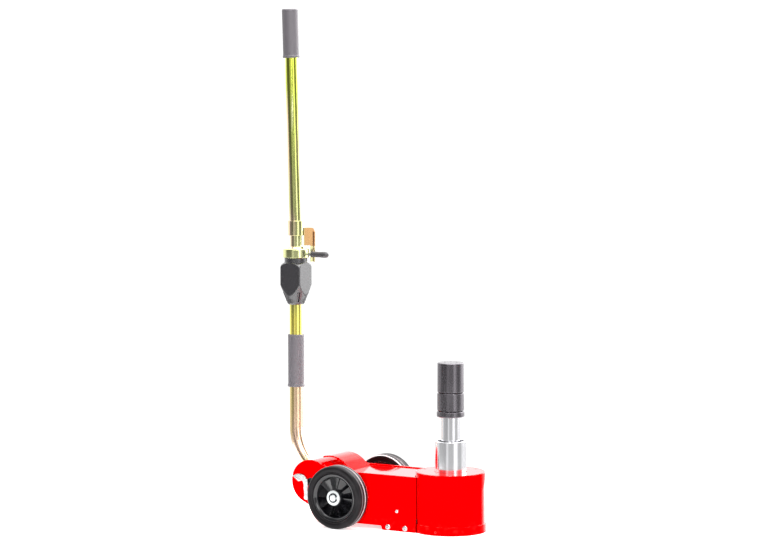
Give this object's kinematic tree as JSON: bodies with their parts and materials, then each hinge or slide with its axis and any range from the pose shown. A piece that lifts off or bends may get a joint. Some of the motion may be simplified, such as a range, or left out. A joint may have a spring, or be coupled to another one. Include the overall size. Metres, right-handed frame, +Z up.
{
  "type": "air-hydraulic truck jack",
  "caption": "Wheeled air-hydraulic truck jack: round housing with telescopic ram and lift-off extensions, boxed chassis, and a long bent handle with a control valve.",
  "frame": {"origin": "on the ram's axis at ground level, the centre of the housing's flat foot", "axes": "+Z up along the ram, +X forwards from the handle towards the ram, +Y to the side away from the lock pawl"},
  "size_m": [0.585, 0.284, 1.3013],
  "materials": {
    "red_paint": "gloss",
    "chrome": "polished hard chrome",
    "black_steel": "phosphated",
    "blued_steel": "blued",
    "zinc": "bright zinc",
    "yellow_zinc": "yellow passivated zinc",
    "cast_block": "cast",
    "motor_alloy": "machined",
    "brass": "machined",
    "tyre_rubber": "satin",
    "rim_plastic": "gloss",
    "valve_plastic": "fine texture",
    "grip_rubber": "matt",
    "seal_rubber": "matt"
  },
  "bodies": {
    "chassis": {"ram_housing": "red_paint", "pressure_sleeve": "zinc", "housing_cover": "red_paint", "gland_ring": "black_steel", "wiper_ring": "seal_rubber", "cover_screws": "blued_steel", "near_side_plate": "red_paint", "far_side_plate": "red_paint", "deck_plate": "red_paint", "rear_apron": "red_paint", "hinge_cover": "red_paint", "pump_block": "cast_block", "block_screws": "black_steel", "side_bolts": "zinc", "motor_screws": "zinc", "axle": "zinc", "axle_spacers": "zinc", "axle_washers": "zinc", "axle_circlips": "blued_steel", "hinge_shaft": "blued_steel", "air_swivel": "brass", "air_pipe": "zinc", "motor_cylinder": "motor_alloy", "motor_cap": "motor_alloy", "pawl_stud": "zinc", "first_return_spring": "black_steel"},
    "motor_piston_body": {"motor_piston": "motor_alloy", "pump_plunger": "zinc"},
    "pawl": {"lock_pawl": "zinc"},
    "first_stage": {"first_ram": "chrome", "first_ram_seal": "seal_rubber", "inner_gland": "black_steel"},
    "second_stage": {"second_ram": "chrome", "second_ram_seal": "seal_rubber", "saddle_ring": "black_steel"},
    "lower_adapter": {"lower_extension": "black_steel"},
    "upper_adapter": {"upper_extension": "black_steel"},
    "near_wheel": {"near_tyre": "tyre_rubber", "near_rim": "rim_plastic", "near_bush": "brass"},
    "far_wheel": {"far_tyre": "tyre_rubber", "far_rim": "rim_plastic", "far_bush": "brass"},
    "handle": {"handle_drum": "red_paint", "lower_tube": "yellow_zinc", "lower_grip": "grip_rubber", "valve_housing": "valve_plastic", "neck_tube": "yellow_zinc", "handle_sleeve": "yellow_zinc", "lever_guard": "yellow_zinc", "upper_tube": "yellow_zinc", "top_grip": "grip_rubber", "air_hoses": "seal_rubber", "inlet_bush": "brass"},
    "control": {"control_ring": "yellow_zinc", "valve_disc": "brass", "lever_pin": "zinc", "lever_sleeve": "grip_rubber"}
  },
  "joints": [
    {"name": "first_stage_lift", "type": "slide", "parent": "chassis", "child": "first_stage", "axis": [0, 0, 1], "range_m": [-0.0765, 0], "deforming": ["first_return_spring"]},
    {"name": "second_stage_lift", "type": "slide", "parent": "first_stage", "child": "second_stage", "axis": [0, 0, 1], "range_m": [-0.06, 0.02]},
    {"name": "lower_extension_lift_off", "type": "slide", "parent": "second_stage", "child": "lower_adapter", "axis": [0, 0, 1], "range_m": [0, 0.12]},
    {"name": "upper_extension_lift_off", "type": "slide", "parent": "lower_adapter", "child": "upper_adapter", "axis": [0, 0, 1], "range_m": [0, 0.12]},
    {"name": "motor_stroke", "type": "slide", "parent": "chassis", "child": "motor_piston_body", "axis": [1, 0, 0], "range_m": [0, 0.025], "stiffness_N_per_m": 300},
    {"name": "pawl_swing", "type": "hinge", "parent": "chassis", "child": "pawl", "pos_m": [-0.372, -0.0815, 0.066], "axis": [0, 1, 0], "range_deg": [0, 10]},
    {"name": "near_wheel_spin", "type": "hinge", "parent": "chassis", "child": "near_wheel", "pos_m": [-0.259, 0, 0.08], "axis": [0, 1, 0], "continuous": true},
    {"name": "far_wheel_spin", "type": "hinge", "parent": "chassis", "child": "far_wheel", "pos_m": [-0.259, 0, 0.08], "axis": [0, 1, 0], "continuous": true},
    {"name": "handle_fold", "type": "hinge", "parent": "chassis", "child": "handle", "pos_m": [-0.365, 0, 0.105], "axis": [0, 1, 0], "range_deg": [-80, 0]},
    {"name": "control_turn", "type": "hinge", "parent": "handle", "child": "control", "pos_m": [-0.456, 0, 0.6674], "axis": [0, 0, 1], "range_deg": [-20, 20], "stiffness_Nm_per_rad": 1.5}
  ]
}
